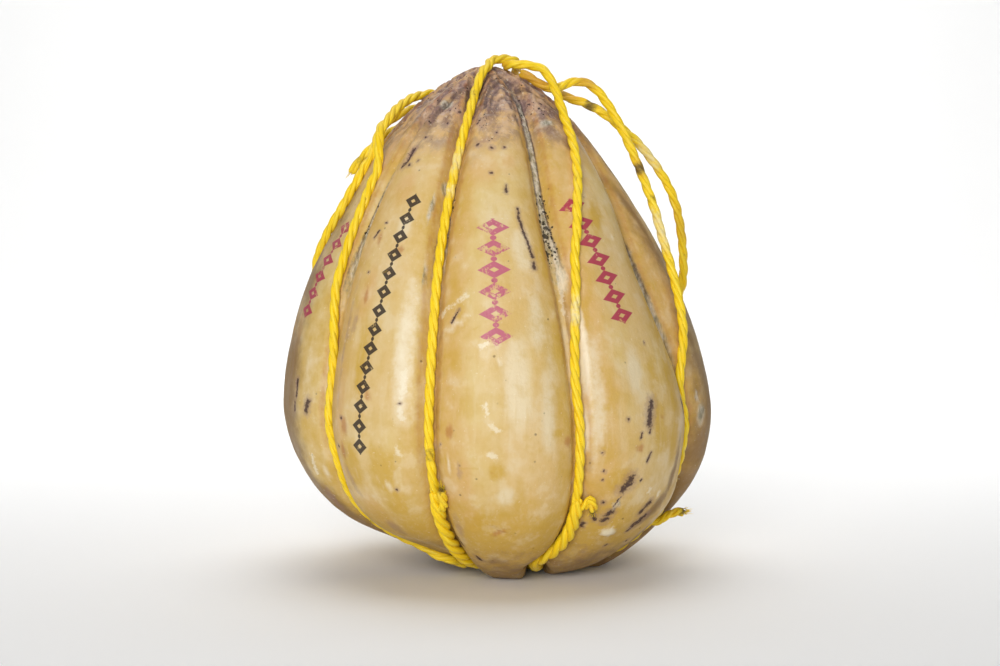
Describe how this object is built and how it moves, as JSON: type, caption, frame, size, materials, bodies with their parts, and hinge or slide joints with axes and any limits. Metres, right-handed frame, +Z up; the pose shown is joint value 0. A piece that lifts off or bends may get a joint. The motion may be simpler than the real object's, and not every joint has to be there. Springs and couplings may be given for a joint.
{
  "type": "provolone cheese",
  "caption": "Whole hanging cheese, a leaning pear drawn into lobes by a harness of yellow twine, standing on small flats under its lobes.",
  "frame": {"origin": "centre of the part's box in plan, on the surface that it stands on", "axes": "+Z up through the crown, -Y towards the front, which shows five of the lobes"},
  "size_m": [0.222, 0.2209, 0.2676],
  "materials": {
    "rind": "waxy yellow rind, mottled cream to amber, browned and wrinkled at the crown, with grey mould in the grooves",
    "twine": "three-ply split-film polypropylene twine, bright yellow with a satin sheen and a few dark stains"
  },
  "bodies": {
    "root": {"cheese": "rind", "strand_1": "twine", "strand_2": "twine", "strand_3": "twine", "strand_4": "twine", "strand_5": "twine", "strand_6": "twine", "strand_7": "twine", "strand_8": "twine", "rope_1": "twine", "rope_2": "twine", "rope_5": "twine", "rope_7": "twine", "tail_1": "twine", "tail_2": "twine", "tail_5": "twine", "tail_7": "twine", "spare_end": "twine", "crown_knot": "twine", "base_knot": "twine"}
  },
  "joints": []
}
